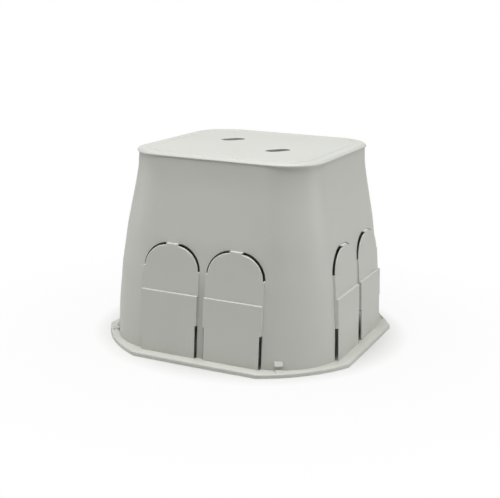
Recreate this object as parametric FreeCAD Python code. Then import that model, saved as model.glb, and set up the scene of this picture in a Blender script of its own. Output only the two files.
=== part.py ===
import FreeCAD, Part
import math
import os

# A square drain box: a flared open-bottomed moulding with a wide flange, and a lift-off lid.
# Lengths are millimetres. X runs along the front face, Y away from it and Z up.
# The origin is on the ground, under the middle of the box.

V = FreeCAD.Vector
UP = V(0, 0, 1)

# Driving sizes of the whole box
height = 200.0
wall = 3.0

# Lid
lid_side = 200.0
lid_corner = 42.0
lid_thickness = 3.0
lid_edge_ease = 0.9
lid_overhang = 0.8

# Lifting slots: length, width, distance of each from the middle and the way it lies there
lift_slot_length = 27.0
lift_slot_width = 7.5
lift_slot_reach = 43.0
lift_slot_bearing = -33.0

# Shallow groove round the top of the lid
groove_inset = 11.0
groove_width = 1.5
groove_depth = 0.6

# Locating skirt and ribs under the lid
skirt_clearance = 0.8
skirt_thickness = 2.4
skirt_depth = 9.0
rib_thickness = 2.0
rib_depth = 6.0
rib_pitch = 60.0

# Flared walls: the radius of the mouth's corners, how far the walls spread past the lid, their lean
# at the ground in degrees, and the radius of the hollow under the lid
mouth_corner = 44.2
foot_spread = 21.6
flare_lean = 0.2
neck_radius = 150.0
bulge_steps = 4
neck_steps = 2

# Flange: a square cut by a circle at its corners, and how far it stands out past the walls there
flange_width = 14.4
flange_corner_width = 7.1
flange_thickness = 4.0
flange_edge_ease = 0.8

# Arched knock-outs, two in each side
arch_width = 62.0
arch_spacing = 69.0
arch_height = 114.6
arch_shoulder = 26.0
ledge_height = 66.7
ledge_step = 2.5
tier_proud_top = 3.0
tier_proud_ledge = 1.0
tier_proud_foot = 3.0
panel_thickness = 1.2

# Slots that weaken each knock-out's outline
tear_slot_width = 2.4
tear_bridge = 13.0
tear_arc_foot = 90.0
tear_side_top = 37.0

# Hooded tie-down eyes, one at each corner of the flange
eye_bearing = 35.1
eye_length = 8.0
eye_height = 9.0
eye_top_depth = 0.6
eye_edge_margin = 1.8
eye_wall_gap = 0.8
eye_hole_width = 4.8
eye_hole_height = 5.4

# Values that follow from the sizes above
seat_height = height - lid_thickness
top_half = lid_side / 2 - lid_overhang
corner_centre = top_half - mouth_corner
mouth_half = top_half - wall
base_half = lid_side / 2 + foot_spread
flange_side = 2 * (base_half + flange_width)
flange_reach = base_half + (math.sqrt(2) - 1) * corner_centre + flange_corner_width
overrun = 5.0


def bulge_radius():
    """Radius of the walls' long outward arc, which leans at the ground and meets the neck's arc."""
    lean = math.radians(flare_lean)
    spread = base_half - top_half
    square = (neck_radius - spread) ** 2 + seat_height ** 2 - neck_radius ** 2
    slack = neck_radius - (neck_radius - spread) * math.cos(lean) - seat_height * math.sin(lean)
    return square / (2 * slack)


bulge = bulge_radius()
bulge_centre = V(base_half - bulge * math.cos(math.radians(flare_lean)), 0,
                 -bulge * math.sin(math.radians(flare_lean)))
neck_centre = V(top_half + neck_radius, 0, seat_height)
neck_start = bulge_centre + (neck_centre - bulge_centre) * (bulge / (bulge + neck_radius))


def wall_half(z):
    """Half-width of the outer wall at height z, on the long arc or on the neck's arc above it."""
    if z < neck_start.z:
        return bulge_centre.x + math.sqrt(bulge ** 2 - (z - bulge_centre.z) ** 2)
    return neck_centre.x - math.sqrt(neck_radius ** 2 - (z - neck_centre.z) ** 2)


def flare_points(inset):
    """Points down both arcs of one wall in section, from the lid to the ground, set in."""
    neck = seat_height - neck_start.z
    stops = [seat_height - neck * step / neck_steps for step in range(neck_steps)]
    stops += [neck_start.z * (1 - step / bulge_steps) for step in range(bulge_steps + 1)]
    return [V(wall_half(z) - inset, 0, z) for z in stops]


def wall_reach(bearing, z):
    """Distance from the axis to the outer wall at a corner, along a bearing in degrees."""
    angle = math.radians(bearing)
    radius = wall_half(z) - corner_centre
    along = corner_centre * (math.cos(angle) + math.sin(angle))
    return along + math.sqrt(along ** 2 - 2 * corner_centre ** 2 + radius ** 2)


def rounded_square(half, flat, z):
    """Closed outline of a square, level at height z, whose flats reach so far from their middles."""
    bow = flat + (half - flat) * math.cos(math.radians(45))
    corners = [V(half, -flat, z), V(half, flat, z), V(bow, bow, z), V(flat, half, z)]
    edges = []
    for quarter in range(4):
        turn = FreeCAD.Rotation(UP, 90 * quarter)
        start, end, middle, after = [turn.multVec(corner) for corner in corners]
        edges.append(Part.LineSegment(start, end).toShape())
        edges.append(Part.Arc(end, middle, after).toShape())
    return Part.Wire(edges)


def square_plate(half, corner, bottom, top):
    """Plate with corners of one radius, between two heights."""
    return Part.Face(rounded_square(half, half - corner, bottom)).extrude(V(0, 0, top - bottom))


def flared_solid(inset):
    """The space inside the walls' outer surface, or inside a surface set in from it."""
    foot = V(corner_centre, 0, 0)
    head = V(corner_centre, 0, seat_height)
    section = Part.Face(Part.makePolygon([foot, head] + flare_points(inset) + [foot]))
    side = section.translated(V(0, -corner_centre, 0)).extrude(V(0, 2 * corner_centre, 0))
    turn = V(corner_centre, corner_centre, 0)
    corner = section.translated(V(0, corner_centre, 0)).revolve(turn, UP, 90)
    core = Part.makeBox(2 * corner_centre, 2 * corner_centre, seat_height,
                        V(-corner_centre, -corner_centre, 0))
    return core.fuse(four_sides(side) + four_sides(corner)).removeSplitter()


def four_sides(shape):
    """Copies of a feature of the +X side, one for each side of the box."""
    return [shape.rotated(V(0, 0, 0), UP, 90 * quarter) for quarter in range(4)]


def arch_prism(grow, foot):
    """Arch outline in the YZ plane, grown all round, run through the +X side of the box."""
    half = arch_width / 2 + grow
    shoulder = arch_shoulder + grow
    crown = arch_height + grow
    spring = crown - shoulder
    bow = shoulder * math.sin(math.radians(45))
    flat = half - shoulder
    near = mouth_half - overrun
    left = [V(near, -half, spring), V(near, -flat - bow, spring + bow), V(near, -flat, crown)]
    right = [V(near, flat, crown), V(near, flat + bow, spring + bow), V(near, half, spring)]
    edges = [
        Part.LineSegment(V(near, -half, foot), left[0]).toShape(),
        Part.Arc(*left).toShape(),
        Part.LineSegment(left[2], right[0]).toShape(),
        Part.Arc(*right).toShape(),
        Part.LineSegment(right[2], V(near, half, foot)).toShape(),
        Part.LineSegment(V(near, half, foot), V(near, -half, foot)).toShape(),
    ]
    depth = base_half + ledge_step + overrun - near
    return Part.Face(Part.Wire(edges)).extrude(V(depth, 0, 0))


def tier_block(inset, foot):
    """The knock-out's two leaning tiers with the ledge between them, as a block along Y."""
    upper_top = wall_half(arch_height) + tier_proud_top - inset
    upper_foot = wall_half(ledge_height) + tier_proud_ledge - inset
    lower_top = upper_foot + ledge_step
    lower_foot = wall_half(flange_thickness) + tier_proud_foot - inset
    ledge = ledge_height - inset
    lean = (upper_foot - upper_top) / (arch_height - ledge_height)
    over = arch_height + overrun
    near = mouth_half - overrun
    section = Part.makePolygon([
        V(near, 0, foot),
        V(lower_foot, 0, foot),
        V(lower_foot, 0, flange_thickness),
        V(lower_top, 0, ledge),
        V(upper_foot, 0, ledge),
        V(upper_top - lean * overrun, 0, over),
        V(near, 0, over),
        V(near, 0, foot),
    ])
    width = arch_width + 2 * overrun
    block = Part.Face(section).extrude(V(0, width, 0))
    block.translate(V(0, -width / 2, 0))
    return block


def knock_out(inset, foot):
    """One arched panel of the +X side, solid, or the pocket behind it when inset."""
    return arch_prism(-inset, foot).common(tier_block(inset, foot))


def tear_slots():
    """Slots round one panel: two arcs with a bridge at the crown, and one low on each side."""
    band = arch_prism(0, 0).cut(arch_prism(-tear_slot_width, -overrun))
    near = mouth_half - 2 * overrun
    depth = base_half + ledge_step + 3 * overrun - near
    width = arch_width + 2 * overrun

    def layer(across, bottom, top):
        return Part.makeBox(depth, across, top - bottom, V(near, -across / 2, bottom))

    arcs = layer(width, tear_arc_foot, arch_height + overrun)
    arcs = arcs.cut(layer(tear_bridge, tear_arc_foot - overrun, arch_height + 2 * overrun))
    sides = layer(width, flange_thickness, tear_side_top)
    return band.common(arcs).fuse(band.common(sides))


def arch_pair(shape):
    """Both knock-outs' copies of a feature on every side."""
    copies = []
    for centre in (-arch_spacing / 2, arch_spacing / 2):
        copies.extend(four_sides(shape.translated(V(0, centre, 0))))
    return copies


def flange_plate():
    """Square flange cut round at its corners, with its top edge eased."""
    plate = Part.makeBox(flange_side, flange_side, flange_thickness,
                         V(-flange_side / 2, -flange_side / 2, 0))
    plate = plate.common(Part.makeCylinder(flange_reach, flange_thickness))
    rim = [edge for edge in plate.Edges if edge.BoundBox.ZMin > flange_thickness / 2]
    return plate.makeChamfer(flange_edge_ease, rim)


def eye_hood():
    """Hood of one tie-down eye, on the +X axis before it is turned to its bearing."""
    top = flange_thickness + eye_height
    inner = mouth_half
    shoulder = wall_reach(eye_bearing, top) + eye_top_depth
    toe = flange_reach - eye_edge_margin
    section = Part.makePolygon([
        V(inner, 0, 0),
        V(toe, 0, 0),
        V(toe, 0, flange_thickness),
        V(shoulder, 0, top),
        V(inner, 0, top),
        V(inner, 0, 0),
    ])
    hood = Part.Face(section).extrude(V(0, eye_length, 0))
    hood.translate(V(0, -eye_length / 2, 0))
    return hood


def eye_hole():
    """Arched hole that runs through the hood along the wall, just above the flange."""
    start = wall_reach(eye_bearing, flange_thickness) + eye_wall_gap
    end = start + eye_hole_width
    bottom = flange_thickness
    top = bottom + eye_hole_height
    spring = top - eye_hole_width / 2
    y = -eye_length
    edges = [
        Part.LineSegment(V(start, y, spring), V(start, y, bottom)).toShape(),
        Part.LineSegment(V(start, y, bottom), V(end, y, bottom)).toShape(),
        Part.LineSegment(V(end, y, bottom), V(end, y, spring)).toShape(),
        Part.Arc(V(end, y, spring), V((start + end) / 2, y, top), V(start, y, spring)).toShape(),
    ]
    return Part.Face(Part.Wire(edges)).extrude(V(0, 2 * eye_length, 0))


def at_corners(shape):
    """Copies of a feature of the +X axis, turned to the four corner eyes."""
    return four_sides(shape.rotated(V(0, 0, 0), UP, eye_bearing))


def make_body():
    """The box moulding, open at its mouth and underneath."""
    outside = flared_solid(0)
    outside = outside.fuse([flange_plate()] + arch_pair(knock_out(0, 0)) + at_corners(eye_hood()))
    inside = [flared_solid(wall)] + arch_pair(knock_out(panel_thickness, -overrun))
    body = outside.cut(inside)
    body = body.cut(arch_pair(tear_slots()))
    return body.cut(at_corners(eye_hole())).removeSplitter()


def oblong(length, width, bottom, top):
    """Oblong prism with round ends, along X and centred on the axis."""
    radius = width / 2
    run = length / 2 - radius
    edges = [
        Part.LineSegment(V(-run, -radius, bottom), V(run, -radius, bottom)).toShape(),
        Part.Arc(V(run, -radius, bottom), V(run + radius, 0, bottom), V(run, radius, bottom)).toShape(),
        Part.LineSegment(V(run, radius, bottom), V(-run, radius, bottom)).toShape(),
        Part.Arc(V(-run, radius, bottom), V(-run - radius, 0, bottom), V(-run, -radius, bottom)).toShape(),
    ]
    return Part.Face(Part.Wire(edges)).extrude(V(0, 0, top - bottom))


def lift_slots():
    """The two lifting slots, each square across the line that joins them."""
    slot = oblong(lift_slot_length, lift_slot_width, seat_height - overrun, height + overrun)
    slot.rotate(V(0, 0, 0), UP, 90)
    slot.translate(V(lift_slot_reach, 0, 0))
    slot.rotate(V(0, 0, 0), UP, lift_slot_bearing)
    return [slot, slot.rotated(V(0, 0, 0), UP, 180)]


def lid_plate():
    """Top plate with an eased upper edge and a shallow groove inside it."""
    plate = square_plate(lid_side / 2, lid_corner, seat_height, height)
    rim = [edge for edge in plate.Edges if edge.BoundBox.ZMin > seat_height + lid_thickness / 2]
    plate = plate.makeChamfer(lid_edge_ease, rim)
    floor = height - groove_depth
    outer = groove_inset
    inner = groove_inset + groove_width
    groove = square_plate(lid_side / 2 - outer, lid_corner - outer, floor, height + overrun)
    island = square_plate(lid_side / 2 - inner, lid_corner - inner, floor, height + overrun)
    return plate.cut(groove.cut(island))


def lid_skirt():
    """Locating ring under the lid, just inside the mouth of the box."""
    outside = mouth_half - skirt_clearance
    inside = outside - skirt_thickness
    bottom = seat_height - skirt_depth
    ring = square_plate(outside, outside - corner_centre, bottom, seat_height)
    return ring.cut(square_plate(inside, inside - corner_centre, bottom, seat_height))


def lid_ribs():
    """Crossed stiffening ribs under the lid, trimmed to the skirt's inside."""
    half = mouth_half - skirt_clearance - skirt_thickness / 2
    bottom = seat_height - rib_depth
    room = square_plate(half, half - corner_centre, bottom, seat_height)
    ribs = []
    for offset in (-rib_pitch, 0, rib_pitch):
        rib = Part.makeBox(2 * half, rib_thickness, rib_depth,
                           V(-half, offset - rib_thickness / 2, bottom))
        ribs.append(rib.common(room))
        ribs.append(rib.rotated(V(0, 0, 0), UP, 90).common(room))
    return ribs


def make_lid():
    """Flat lid with its skirt, ribs and two lifting slots."""
    lid = lid_plate().fuse([lid_skirt()] + lid_ribs())
    return lid.cut(lift_slots()).removeSplitter()


os.makedirs("parts", exist_ok=True)
make_body().exportStep("parts/box_body.step")
make_lid().exportStep("parts/lid.step")
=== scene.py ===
import math

import bmesh
import bpy
import numpy as np
from bpy.props import FloatProperty, FloatVectorProperty, PointerProperty
from mathutils import Matrix, Vector


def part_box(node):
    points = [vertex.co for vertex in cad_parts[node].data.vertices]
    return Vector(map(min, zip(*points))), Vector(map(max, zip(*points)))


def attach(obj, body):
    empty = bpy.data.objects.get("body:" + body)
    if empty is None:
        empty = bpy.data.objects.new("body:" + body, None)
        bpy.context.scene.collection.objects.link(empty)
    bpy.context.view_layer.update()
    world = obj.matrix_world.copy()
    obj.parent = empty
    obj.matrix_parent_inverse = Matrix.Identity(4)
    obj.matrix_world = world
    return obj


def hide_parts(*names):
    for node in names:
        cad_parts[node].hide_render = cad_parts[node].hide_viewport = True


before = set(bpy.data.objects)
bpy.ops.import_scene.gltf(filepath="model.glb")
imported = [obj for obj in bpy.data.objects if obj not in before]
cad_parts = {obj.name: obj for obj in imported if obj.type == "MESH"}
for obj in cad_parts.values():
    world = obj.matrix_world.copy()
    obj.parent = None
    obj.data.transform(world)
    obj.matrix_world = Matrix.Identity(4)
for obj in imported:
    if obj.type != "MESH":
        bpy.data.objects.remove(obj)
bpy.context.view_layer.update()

# A square moulded drain box with a flared body, arched pipe knock-outs and a flat lift-off lid.
# Lengths are metres. X runs along the front face, Y away from it and Z up.

bl_info = {
    "name": "Moulded Drain Box",
    "version": (1, 0, 0),
    "blender": (4, 5, 0),
    "location": "View3D > Sidebar > Drain Box",
    "description": "Dresses the drain box in moulded plastic and sets it on a pale studio floor",
    "category": "Object",
}

MERGE_DISTANCE = 0.00001
BEVEL_ANGLE = math.radians(32)

# Lifting slots of the lid
SLOT_STEPS = 13
SLOT_OVERRUN = 0.005

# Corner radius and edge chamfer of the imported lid, and how near a vertex must lie to count as on the chamfer
LID_CORNER = 0.042
LID_EASE = 0.0009
RING_TOLERANCE = 0.0002
RING_LEVEL_TOLERANCE = 0.0001

# Gap between the two knock-outs of a side, where shade is painted, and how fast that painted shade fades at
# the edges, top and foot
GAP_HALF = 0.0035
GAP_BLUR = 0.0007
GAP_FOOT = 0.0042
GAP_TOP = 0.098
GAP_EDGE_FADE = 800.0
GAP_TOP_FADE = 40.0
GAP_FOOT_FADE = 900.0

# Plastic: noise cells to the metre, what each noise adds to tone and roughness, and the shades of its colour:
# a lighter and a darker one for random tone, and a dark one for the shade painted into the gaps between the
# knock-outs
CLOUD_CELLS = 14.0
FLOW_CELLS = (90.0, 90.0, 9.0)
PLAIN_TONE, CLOUD_TONE, FLOW_TONE = 0.96, 0.06, 0.02
TONE_STRETCH, TONE_START = 10.0, 9.2
ROUGHNESS_DROP, CLOUD_ROUGHNESS, GRAIN_ROUGHNESS = 0.06, 0.08, 0.05
LIGHT_SHADE = 1.015
DARK_SHADE = 0.90
# Colour factor of the painted shade in the gaps between the knock-outs
PAINTED_GAP_SHADE = 0.35
GRAIN_STRENGTH = 0.12
GRAIN_HEIGHT = 0.0002

# Outline of the knock-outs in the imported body, and their front planes as heights and distances from the axis
PANEL_CENTRE = 0.0345
PANEL_HALF = 0.031
PANEL_SHOULDER = 0.026
PANEL_CROWN = 0.1146
UPPER_FRONT = ((0.0667, 0.1146), (0.119396, 0.115394))
LOWER_FRONT = ((0.004, 0.0667), (0.124575, 0.121896))

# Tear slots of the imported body: width, arc as angles of the shoulder in degrees, and side as heights
TEAR_SLOT = 0.0024
ARC_SPAN = (3.5, 86.3)
ARC_STEPS = 25
SIDE_SPAN = (0.004, 0.037)

# Section of the edges beside the tear slots: how far its first points lie in from the slot, and its depths
EDGE_ROOT = 0.0004
EDGE_BROW = 0.0001
ROOT_DEPTH = 0.00002
BROW_DEPTH = 0.00008
BACK_DEPTH = 0.0011

# Floor: its level, the cells and colours of its noise, the distances from which its glow rises and how fast,
# and how white it glows near the box
FLOOR_LEVEL = -0.0003
FLOOR_CELLS = 3.0
FLOOR_DARK = (0.63, 0.63, 0.62, 1.0)
FLOOR_LIGHT = (0.67, 0.67, 0.66, 1.0)
WHITE = (1.0, 1.0, 1.0, 1.0)
GLOW_FROM, GLOW_RISE = 0.12, 20.0
FULL_GLOW_FROM, FULL_GLOW_RISE = 0.16, 5.0
NEAR_GLOW = 0.9

# Lights: place and size of each, their colours, and the point that all of them face
KEY_PLACE, KEY_SIZE = (0.0, -0.24, 1.8), 1.4
LEFT_PLACE, LEFT_SIZE = (-1.4, -0.3, 0.3), 0.6
RIGHT_PLACE, RIGHT_SIZE = (1.4, 0.3, 0.25), 0.5
KEY_COLOUR = (1.0, 1.0, 0.995)
SIDE_COLOUR = (1.0, 1.0, 1.0)
LIGHT_AIM = (0.0, 0.0, 0.1)

# Camera fitted to the photograph: angles in degrees, and the place of the origin in its view
CAMERA_TURN, CAMERA_PITCH, CAMERA_ROLL = 24.52, 14.42, 1.14
CAMERA_SLIDE, CAMERA_RISE, CAMERA_DISTANCE = 0.00131, -0.08485, 1.0933
SENSOR_WIDTH = 36.0


class MouldedPlastic(bpy.types.PropertyGroup):
    """Colour and surface of the moulded plastic."""
    body_colour: FloatVectorProperty(
        name="Body colour", description="Colour of the box moulding",
        subtype="COLOR", size=3, min=0, max=1, default=(0.68, 0.69, 0.64))
    lid_colour: FloatVectorProperty(
        name="Lid colour", description="Colour of the lid",
        subtype="COLOR", size=3, min=0, max=1, default=(0.685, 0.693, 0.656))
    roughness: FloatProperty(
        name="Roughness", description="Mean roughness of the satin skin",
        subtype="FACTOR", min=0, max=1, default=0.46)
    # Painted shade: how dark the gaps between the knock-outs are painted, standing in for the shade in those
    # recesses
    gap_painted_shade: FloatProperty(
        name="Gap painted shade", description="How strongly the gaps between the knock-outs are greyed",
        subtype="FACTOR", min=0, max=1, default=0.25)
    grain: FloatProperty(
        name="Grain", description="Size of the fine moulded grain",
        subtype="DISTANCE", unit="LENGTH", min=0.0001, max=0.01, default=0.0011)
    edge_round: FloatProperty(
        name="Edge round", description="Width of the soft edge round every corner of the mouldings",
        subtype="DISTANCE", unit="LENGTH", min=0, max=0.002, default=0.00035)


class TearEdge(bpy.types.PropertyGroup):
    """Sloping edges that narrow the tear slots round the knock-outs."""
    edge_width: FloatProperty(
        name="Edge width", description="How far the edge of a knock-out reaches into its tear slot",
        subtype="DISTANCE", unit="LENGTH", min=0.0001, max=0.002, default=0.0008)
    arc_slope: FloatProperty(
        name="Arc slope", description="How far the edge falls back along the arcs",
        subtype="DISTANCE", unit="LENGTH", min=0.0001, max=0.0011, default=0.0008)
    side_slope: FloatProperty(
        name="Side slope", description="How far the edge falls back along the straight sides",
        subtype="DISTANCE", unit="LENGTH", min=0.0001, max=0.0011, default=0.00015)


class LidShape(bpy.types.PropertyGroup):
    """Rounding of the lid's edge, and sizes of its two lifting slots."""
    rim_drop: FloatProperty(
        name="Rim drop", description="How far the sloping edge of the lid comes down",
        subtype="DISTANCE", unit="LENGTH", min=0.001, max=0.0028, default=0.0021)
    rim_inset: FloatProperty(
        name="Rim inset", description="How far the sloping edge of the lid comes in",
        subtype="DISTANCE", unit="LENGTH", min=0.001, max=0.005, default=0.0021)
    slot_length: FloatProperty(
        name="Slot length", description="Length of each slot over its round ends",
        subtype="DISTANCE", unit="LENGTH", min=0.02, max=0.05, default=0.0275)
    slot_width: FloatProperty(
        name="Slot width", description="Width of each slot",
        subtype="DISTANCE", unit="LENGTH", min=0.008, max=0.018, default=0.0135)
    slot_reach: FloatProperty(
        name="Slot reach", description="Distance of each slot from the middle of the lid",
        subtype="DISTANCE", unit="LENGTH", min=0.03, max=0.06, default=0.043)
    slot_bearing: FloatProperty(
        name="Slot bearing", description="Direction from the middle of the lid to the first slot",
        subtype="ANGLE", unit="ROTATION", min=-math.pi, max=math.pi, default=math.radians(-33))


class StudioStage(bpy.types.PropertyGroup):
    """Floor, light and camera."""
    floor_side: FloatProperty(
        name="Floor side", description="Width of the pale floor",
        subtype="DISTANCE", unit="LENGTH", min=1, max=50, default=12)
    key_strength: FloatProperty(
        name="Key light", description="Power of the large light overhead",
        subtype="POWER", unit="POWER", min=0, max=500, default=38)
    left_strength: FloatProperty(
        name="Left light", description="Power of the light at the left",
        subtype="POWER", unit="POWER", min=0, max=500, default=2.1)
    right_strength: FloatProperty(
        name="Right light", description="Power of the light at the right",
        subtype="POWER", unit="POWER", min=0, max=500, default=3.7)
    ambient: FloatProperty(
        name="Ambient light", description="Strength of the even light from all round",
        min=0, max=2, default=0.08)
    lens: FloatProperty(
        name="Lens", description="Focal length on a 36 mm sensor",
        subtype="DISTANCE_CAMERA", min=10, max=300, default=72.2)


class Socket:
    """Output socket of a shader node, used in arithmetic."""

    def __init__(self, tree, socket):
        self.tree = tree
        self.socket = socket

    def math(self, operation, *values):
        """Math node of one operation on this value and others."""
        return node(self.tree, "ShaderNodeMath", {"operation": operation},
                    dict(enumerate((self,) + values)))["Value"]

    def __add__(self, other):
        return self.math("ADD", other)

    def __radd__(self, other):
        return self.math("ADD", other)

    def __sub__(self, other):
        return self.math("SUBTRACT", other)

    def __rsub__(self, other):
        return (self * -1.0) + other

    def __mul__(self, other):
        return self.math("MULTIPLY", other)

    def __rmul__(self, other):
        return self.math("MULTIPLY", other)

    def clamped(self):
        """Value held between 0 and 1."""
        return self.math("MINIMUM", 1.0).math("MAXIMUM", 0.0)


def node(tree, kind, settings=None, inputs=None):
    """Adds a node, sets its settings, then the values or links of its sockets; returns its outputs."""
    made = tree.nodes.new(kind)
    for name, value in (settings or {}).items():
        setattr(made, name, value)
    for key, value in (inputs or {}).items():
        if isinstance(value, Socket):
            tree.links.new(value.socket, made.inputs[key])
        else:
            made.inputs[key].default_value = value
    return {output.name: Socket(tree, output) for output in made.outputs if output.enabled}


def new_material(name):
    """Material with an empty node tree, and the tree."""
    material = bpy.data.materials.new(name)
    material.use_nodes = True
    material.node_tree.nodes.clear()
    return material, material.node_tree


def mix_colour(tree, factor, first, second):
    """Colour between two colours."""
    return node(tree, "ShaderNodeMix", {"data_type": "RGBA"},
                {0: factor, 6: first, 7: second})["Result"]


def noise(tree, place, scale, detail):
    """Soft noise from 0 to 1 at a number of cells to the metre."""
    return node(tree, "ShaderNodeTexNoise", {},
                {"Vector": place, "Scale": scale, "Detail": detail})["Fac"]


def spread(tree, place, scale):
    """Coordinates stretched by a different amount along each axis."""
    return node(tree, "ShaderNodeMapping", {}, {"Vector": place, "Scale": scale})["Vector"]


def panel_gap(tree, place):
    """Mask of the painted shade: 1 in the narrow gap between the two knock-outs of a side, fading at its edges
    and its ends.
    """
    parts = node(tree, "ShaderNodeSeparateXYZ", {}, {"Vector": place})
    across = parts["X"].math("ABSOLUTE").math("MINIMUM", parts["Y"].math("ABSOLUTE"))
    between = ((GAP_HALF + GAP_BLUR - across) * GAP_EDGE_FADE).clamped()
    below = ((GAP_TOP - parts["Z"]) * GAP_TOP_FADE).clamped()
    above = ((parts["Z"] - GAP_FOOT) * GAP_FOOT_FADE).clamped()
    return between * below * above


def shade_of(colour, factor):
    """Opaque colour made lighter or darker by a factor, held to 1."""
    return tuple(min(1.0, factor * part) for part in colour) + (1.0,)


def moulded_plastic(name, colour, settings, painted_shade=0.0):
    """Satin moulded plastic: fine grain, faint flow marks down the walls and slow changes of tone.

    The last argument is how strongly shade is painted into the gaps between the knock-outs.
    """
    material, tree = new_material(name)
    place = node(tree, "ShaderNodeTexCoord")["Object"]
    cloud = noise(tree, place, CLOUD_CELLS, 3.0)
    flow = noise(tree, spread(tree, place, FLOW_CELLS), 1.0, 3.0)
    grain = noise(tree, place, 1.0 / settings.grain, 2.0)
    tone = (PLAIN_TONE + CLOUD_TONE * cloud + FLOW_TONE * flow).clamped()
    lightness = tone * TONE_STRETCH - TONE_START
    skin = mix_colour(tree, lightness, shade_of(colour, DARK_SHADE), shade_of(colour, LIGHT_SHADE))
    # Painted shade: the recessed gaps between the knock-outs are mixed towards a dark shade of the colour.
    if painted_shade:
        skin = mix_colour(tree, panel_gap(tree, place) * painted_shade, skin, shade_of(colour, PAINTED_GAP_SHADE))
    bump = node(tree, "ShaderNodeBump", {}, {
        "Strength": GRAIN_STRENGTH,
        "Distance": GRAIN_HEIGHT,
        "Height": grain,
    })["Normal"]
    smoothest = settings.roughness - ROUGHNESS_DROP
    shader = node(tree, "ShaderNodeBsdfPrincipled", {}, {
        "Base Color": skin,
        "Roughness": smoothest + CLOUD_ROUGHNESS * cloud + GRAIN_ROUGHNESS * grain,
        "Normal": bump,
        "IOR": 1.49,
        "Specular IOR Level": 0.45,
    })["BSDF"]
    node(tree, "ShaderNodeOutputMaterial", {}, {"Surface": shader})
    return material


def soften(piece, width):
    """Joins the loose triangles for shading, and rounds every edge of the moulding a little."""
    piece.data.shade_smooth()
    weld = piece.modifiers.new("Join", "WELD")
    weld.merge_threshold = MERGE_DISTANCE
    bevel = piece.modifiers.new("Edge round", "BEVEL")
    bevel.width = width
    bevel.segments = 2
    bevel.limit_method = "ANGLE"
    bevel.angle_limit = BEVEL_ANGLE
    bevel.use_clamp_overlap = False
    shading = piece.modifiers.new("Shading", "WEIGHTED_NORMAL")
    shading.mode = "FACE_AREA"
    shading.weight = 100
    shading.keep_sharp = False


def dress(piece, material, width):
    """Gives a moulding its plastic and its softened edges."""
    piece.data.materials.clear()
    piece.data.materials.append(material)
    soften(piece, width)


def link(name, data):
    """New object of the scene, at the origin, that holds a mesh, a lamp or a camera."""
    piece = bpy.data.objects.new(name, data)
    bpy.context.scene.collection.objects.link(piece)
    return piece


def merged_copy(name, source):
    """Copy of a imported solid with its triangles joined."""
    mesh = source.data.copy()
    mesh.name = name
    work = bmesh.new()
    work.from_mesh(mesh)
    bmesh.ops.remove_doubles(work, verts=work.verts, dist=MERGE_DISTANCE)
    work.to_mesh(mesh)
    work.free()
    return link(name, mesh)


def slope_rim(lid, settings):
    """Makes the eased edge of the lid's top wider, down its side and in over its face.

    A vertex near the outline lies at half the side less the corner radius, plus a step of the radius along
    the outward direction; the top ring slides in along that direction and the ring below it slides down.
    """
    mesh = lid.data
    flat = np.empty(3 * len(mesh.vertices))
    mesh.vertices.foreach_get("co", flat)
    points = flat.reshape(-1, 3)
    half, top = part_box("lid")[1][0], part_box("lid")[1][2]
    beyond = np.maximum(np.abs(points[:, :2]) - (half - LID_CORNER), 0.0)
    reach = np.linalg.norm(beyond, axis=1)
    outward = np.sign(points[:, :2]) * beyond / np.maximum(reach, MERGE_DISTANCE)[:, None]
    depth = LID_CORNER - reach
    at_top = np.abs(points[:, 2] - top) < MERGE_DISTANCE
    below_top = np.abs(points[:, 2] - top + LID_EASE) < RING_LEVEL_TOLERANCE
    face_ring = at_top & (np.abs(depth - LID_EASE) < RING_TOLERANCE)
    side_ring = below_top & (depth < RING_TOLERANCE)
    points[face_ring, :2] -= outward[face_ring] * (settings.rim_inset - LID_EASE)
    points[side_ring, 2] = top - settings.rim_drop
    mesh.vertices.foreach_set("co", points.ravel())
    mesh.update()


def slot_cutter(settings, half_turns, low, high):
    """Upright prism of one slot: a straight-sided ring with round ends, carried from low to high.

    A point of the ring stands at run * side + radius * cos(angle) and radius * sin(angle), where side is
    1 round the first end and -1 round the second. The ring lies square across its bearing.
    """
    radius = settings.slot_width / 2
    run = settings.slot_length / 2 - radius
    angle = np.concatenate([np.linspace(-0.5, 0.5, SLOT_STEPS), np.linspace(0.5, 1.5, SLOT_STEPS)]) * math.pi
    side = np.repeat([1.0, -1.0], SLOT_STEPS)
    along = run * side + radius * np.cos(angle)
    across = settings.slot_reach - radius * np.sin(angle)
    bearing = settings.slot_bearing + half_turns * math.pi
    x = across * math.cos(bearing) - along * math.sin(bearing)
    y = across * math.sin(bearing) + along * math.cos(bearing)
    count = 2 * SLOT_STEPS
    points = np.concatenate([np.column_stack([x, y, np.full(count, z)]) for z in (low, high)])
    here = np.arange(count)
    after = np.roll(here, -1)
    sides = np.column_stack([here, after, after + count, here + count]).tolist()
    caps = [here[::-1].tolist(), (here + count).tolist()]
    mesh = bpy.data.meshes.new("Slot cutter")
    mesh.from_pydata(points.tolist(), [], sides + caps)
    return link("Slot cutter", mesh)


def carve(piece, cutters):
    """Cuts prisms out of a moulding and leaves the result in its mesh."""
    for cutter in cutters:
        cut = piece.modifiers.new("Cut", "BOOLEAN")
        cut.operation = "DIFFERENCE"
        cut.solver = "EXACT"
        cut.object = cutter
    carved = piece.evaluated_get(bpy.context.evaluated_depsgraph_get())
    mesh = bpy.data.meshes.new_from_object(carved)
    piece.modifiers.clear()
    piece.data = mesh
    for cutter in cutters:
        bpy.data.objects.remove(cutter)


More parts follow.
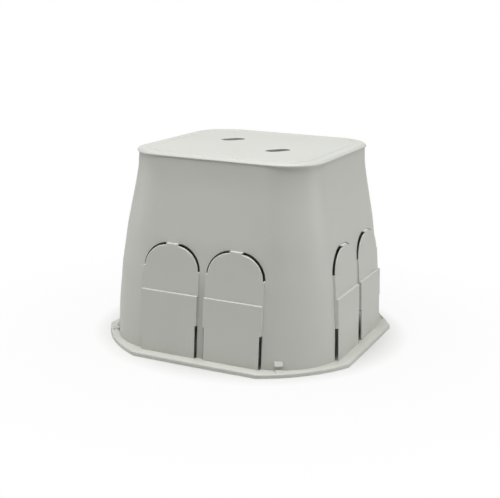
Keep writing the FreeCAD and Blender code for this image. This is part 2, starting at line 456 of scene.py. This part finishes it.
class DRAINBOX_OT_dress_body(bpy.types.Operator):
    """Dress the flared box moulding in satin plastic."""
    bl_idname = "drainbox.dress_body"
    bl_label = "Dress Box Body"

    def execute(self, context):
        settings = context.scene.drainbox_plastic
        colour = tuple(settings.body_colour)
        # The last argument paints shade into the gaps between the knock-outs.
        material = moulded_plastic("Body plastic", colour, settings, settings.gap_painted_shade)
        dress(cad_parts["box_body"], material, settings.edge_round)
        return {"FINISHED"}


def edge_grid(across, height, front, slope):
    """Points of an edge at places across and up, set back from a front plane by the depths of its section."""
    depth = np.array([ROOT_DEPTH, BROW_DEPTH, slope, BACK_DEPTH, BACK_DEPTH])
    return np.stack([np.interp(height, *front) - depth, across, height], axis=-1)


def tear_edges(settings):
    """Points of the edges along one arc and one side of a knock-out, path by section by axis.

    A point of a section lies at an inset from the knock-out's outline and a depth behind its front plane.
    On the arc it stands at the shoulder's centre plus (shoulder - inset) * (cos, sin) of the angle; on the
    side it stands at the half-width less the inset, at each height. The front plane leans evenly.
    """
    width = settings.edge_width
    inset = TEAR_SLOT + np.array([EDGE_ROOT, -EDGE_BROW, -width, -width, EDGE_ROOT])
    angle = np.radians(np.linspace(*ARC_SPAN, ARC_STEPS))[:, None]
    across = PANEL_HALF - PANEL_SHOULDER + (PANEL_SHOULDER - inset) * np.cos(angle)
    height = PANEL_CROWN - PANEL_SHOULDER + (PANEL_SHOULDER - inset) * np.sin(angle)
    arc = edge_grid(across, height, UPPER_FRONT, settings.arc_slope)
    height = np.repeat(np.array(SIDE_SPAN)[:, None], len(inset), axis=1)
    across = np.broadcast_to(PANEL_HALF - inset, height.shape)
    side = edge_grid(across, height, LOWER_FRONT, settings.side_slope)
    return arc, side


def strip_faces(count, section, first):
    """Faces of a closed strip of sections, with its two ends, from its first vertex on."""
    row = np.arange(count - 1)[:, None] * section
    here = np.arange(section)[None, :]
    after = (here + 1) % section
    sides = np.stack([row + here, row + section + here, row + section + after, row + after], axis=-1)
    ends = [np.arange(section)[::-1].tolist(), (np.arange(section) + section * (count - 1)).tolist()]
    quads = (sides.reshape(-1, 4) + first).tolist()
    return quads + [[first + corner for corner in end] for end in ends]


def tear_edge_mesh(settings):
    """Mesh of the edges of all eight knock-outs, from one arc and one side mirrored, shifted and turned."""
    points, faces, total = [], [], 0
    for grid in tear_edges(settings):
        for hand in (1.0, -1.0):
            for centre in (-PANEL_CENTRE, PANEL_CENTRE):
                placed = grid * (1.0, hand, 1.0) + (0.0, centre, 0.0)
                for quarter in range(4):
                    turn = np.array(Matrix.Rotation(quarter * math.pi / 2, 3, "Z"))
                    points.append((placed @ turn.T).reshape(-1, 3))
                    faces += strip_faces(*grid.shape[:2], total)
                    total += grid.shape[0] * grid.shape[1]
    mesh = bpy.data.meshes.new("tear_slot_edges")
    mesh.from_pydata(np.concatenate(points).tolist(), [], faces)
    work = bmesh.new()
    work.from_mesh(mesh)
    bmesh.ops.recalc_face_normals(work, faces=work.faces)
    work.to_mesh(mesh)
    work.free()
    return mesh


class DRAINBOX_OT_edge_slots(bpy.types.Operator):
    """Give the knock-outs the sloping edges that narrow their tear slots."""
    bl_idname = "drainbox.edge_slots"
    bl_label = "Edge Tear Slots"

    def execute(self, context):
        edges = link("tear_slot_edges", tear_edge_mesh(context.scene.drainbox_edge))
        edges.data.materials.append(bpy.data.materials["Body plastic"])
        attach(edges, "box")
        return {"FINISHED"}


class DRAINBOX_OT_make_lid(bpy.types.Operator):
    """Make the flat lid with its sloping rim and wide lifting slots, in satin plastic."""
    bl_idname = "drainbox.make_lid"
    bl_label = "Make Lid"

    def execute(self, context):
        plastic = context.scene.drainbox_plastic
        shape = context.scene.drainbox_lid
        lid = merged_copy("lid_with_slots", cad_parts["lid"])
        slope_rim(lid, shape)
        low, high = (corner[2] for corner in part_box("lid"))
        carve(lid, [slot_cutter(shape, turn, low, high + SLOT_OVERRUN) for turn in (0, 1)])
        material = moulded_plastic("Lid plastic", tuple(plastic.lid_colour), plastic)
        dress(lid, material, plastic.edge_round)
        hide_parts("lid")
        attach(lid, "cover")
        return {"FINISHED"}


def stage_floor(side):
    """Pale floor that reads as white to the camera and keeps a faint shadow of the box."""
    half = side / 2
    corners = [(-half, -half), (half, -half), (half, half), (-half, half)]
    mesh = bpy.data.meshes.new("Floor")
    mesh.from_pydata([(x, y, FLOOR_LEVEL) for x, y in corners], [], [(0, 1, 2, 3)])
    floor = link("Floor", mesh)
    material, tree = new_material("Pale floor")
    place = node(tree, "ShaderNodeTexCoord")["Object"]
    cloud = noise(tree, place, FLOOR_CELLS, 2.0)
    shade = mix_colour(tree, cloud, FLOOR_DARK, FLOOR_LIGHT)
    matt = node(tree, "ShaderNodeBsdfPrincipled", {}, {"Base Color": shade, "Roughness": 0.8})["BSDF"]
    glow = node(tree, "ShaderNodeEmission", {}, {"Color": WHITE, "Strength": 1.0})["Emission"]
    ray = node(tree, "ShaderNodeLightPath")
    seen = ray["Is Camera Ray"].math("MAXIMUM", ray["Is Glossy Ray"])
    seen = seen.math("MAXIMUM", ray["Is Transmission Ray"])
    away = node(tree, "ShaderNodeVectorMath", {"operation": "LENGTH"}, {0: place})["Value"]
    open_floor = ((away - GLOW_FROM) * GLOW_RISE).clamped()
    distant = ((away - FULL_GLOW_FROM) * FULL_GLOW_RISE).clamped()
    glowing = seen * open_floor * (NEAR_GLOW + (1.0 - NEAR_GLOW) * distant)
    surface = node(tree, "ShaderNodeMixShader", {}, {0: glowing, 1: matt, 2: glow})["Shader"]
    beneath = node(tree, "ShaderNodeNewGeometry")["Backfacing"]
    clear = node(tree, "ShaderNodeBsdfTransparent")["BSDF"]
    sheet = node(tree, "ShaderNodeMixShader", {}, {0: beneath, 1: surface, 2: clear})["Shader"]
    node(tree, "ShaderNodeOutputMaterial", {}, {"Surface": sheet})
    mesh.materials.append(material)


def area_light(name, place, size, power, colour):
    """Soft square light at a place, turned to the box and hidden from the camera."""
    data = bpy.data.lights.new(name, "AREA")
    data.shape = "SQUARE"
    data.size = size
    data.energy = power
    data.color = colour
    lamp = link(name, data)
    lamp.visible_camera = False
    facing = (Vector(LIGHT_AIM) - Vector(place)).to_track_quat("-Z", "Y")
    lamp.matrix_world = Matrix.Translation(place) @ facing.to_matrix().to_4x4()


def stage_world(ambient):
    """Even ambient light, seen as white behind the box."""
    world = bpy.data.worlds.new("Studio")
    bpy.context.scene.world = world
    world.use_nodes = True
    tree = world.node_tree
    tree.nodes.clear()
    ray = node(tree, "ShaderNodeLightPath")
    seen = ray["Is Camera Ray"].math("MAXIMUM", ray["Is Transmission Ray"])
    strength = ambient + (1.0 - ambient) * seen
    backdrop = node(tree, "ShaderNodeBackground", {}, {"Color": WHITE, "Strength": strength})
    node(tree, "ShaderNodeOutputWorld", {}, {"Surface": backdrop["Background"]})


def stage_camera(lens):
    """Camera at the photographed angle: 24.5 degrees to the right of square on and 14.4 degrees above."""
    turn, pitch, roll = (math.radians(angle) for angle in (CAMERA_TURN, CAMERA_PITCH, CAMERA_ROLL))
    ahead = np.array([-math.sin(turn) * math.cos(pitch), math.cos(turn) * math.cos(pitch), -math.sin(pitch)])
    level = np.array([math.cos(turn), math.sin(turn), 0.0])
    upright = np.cross(level, ahead)
    right = math.cos(roll) * level + math.sin(roll) * upright
    up = math.cos(roll) * upright - math.sin(roll) * level
    eye = -ahead * CAMERA_DISTANCE - right * CAMERA_SLIDE - up * CAMERA_RISE
    data = bpy.data.cameras.new("Camera")
    data.lens = lens
    data.sensor_width = SENSOR_WIDTH
    camera = link("Camera", data)
    rows = np.column_stack([right, up, -ahead, eye]).tolist()
    camera.matrix_world = Matrix(rows + [[0, 0, 0, 1]])
    bpy.context.scene.camera = camera


class DRAINBOX_OT_set_stage(bpy.types.Operator):
    """Set up the pale floor, the soft studio light and the camera."""
    bl_idname = "drainbox.set_stage"
    bl_label = "Set Stage"

    def execute(self, context):
        settings = context.scene.drainbox_stage
        stage_floor(settings.floor_side)
        area_light("Overhead light", KEY_PLACE, KEY_SIZE, settings.key_strength, KEY_COLOUR)
        area_light("Left light", LEFT_PLACE, LEFT_SIZE, settings.left_strength, SIDE_COLOUR)
        area_light("Right light", RIGHT_PLACE, RIGHT_SIZE, settings.right_strength, SIDE_COLOUR)
        stage_world(settings.ambient)
        stage_camera(settings.lens)
        context.scene.view_settings.view_transform = "Standard"
        return {"FINISHED"}


class DRAINBOX_PT_sidebar(bpy.types.Panel):
    """Sizes, colours and steps of the drain box."""
    bl_idname = "DRAINBOX_PT_sidebar"
    bl_label = "Drain Box"
    bl_space_type = "VIEW_3D"
    bl_region_type = "UI"
    bl_category = "Drain Box"

    def draw(self, context):
        scene = context.scene
        mouldings = (scene.drainbox_plastic, scene.drainbox_edge, scene.drainbox_lid)
        for settings in mouldings + (scene.drainbox_stage,):
            for name in settings.__annotations__:
                self.layout.prop(settings, name)
        for step in STEPS:
            self.layout.operator(step.bl_idname)


STEPS = (DRAINBOX_OT_dress_body, DRAINBOX_OT_edge_slots, DRAINBOX_OT_make_lid, DRAINBOX_OT_set_stage)
CLASSES = (MouldedPlastic, TearEdge, LidShape, StudioStage) + STEPS + (DRAINBOX_PT_sidebar,)


def register():
    for cls in CLASSES:
        bpy.utils.register_class(cls)
    bpy.types.Scene.drainbox_plastic = PointerProperty(type=MouldedPlastic)
    bpy.types.Scene.drainbox_edge = PointerProperty(type=TearEdge)
    bpy.types.Scene.drainbox_lid = PointerProperty(type=LidShape)
    bpy.types.Scene.drainbox_stage = PointerProperty(type=StudioStage)


def unregister():
    del bpy.types.Scene.drainbox_stage
    del bpy.types.Scene.drainbox_lid
    del bpy.types.Scene.drainbox_edge
    del bpy.types.Scene.drainbox_plastic
    for cls in reversed(CLASSES):
        bpy.utils.unregister_class(cls)


def main():
    """Registers the add-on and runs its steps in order."""
    register()
    bpy.ops.drainbox.dress_body()
    bpy.ops.drainbox.edge_slots()
    bpy.ops.drainbox.make_lid()
    bpy.ops.drainbox.set_stage()


if __name__ == "__main__":
    main()
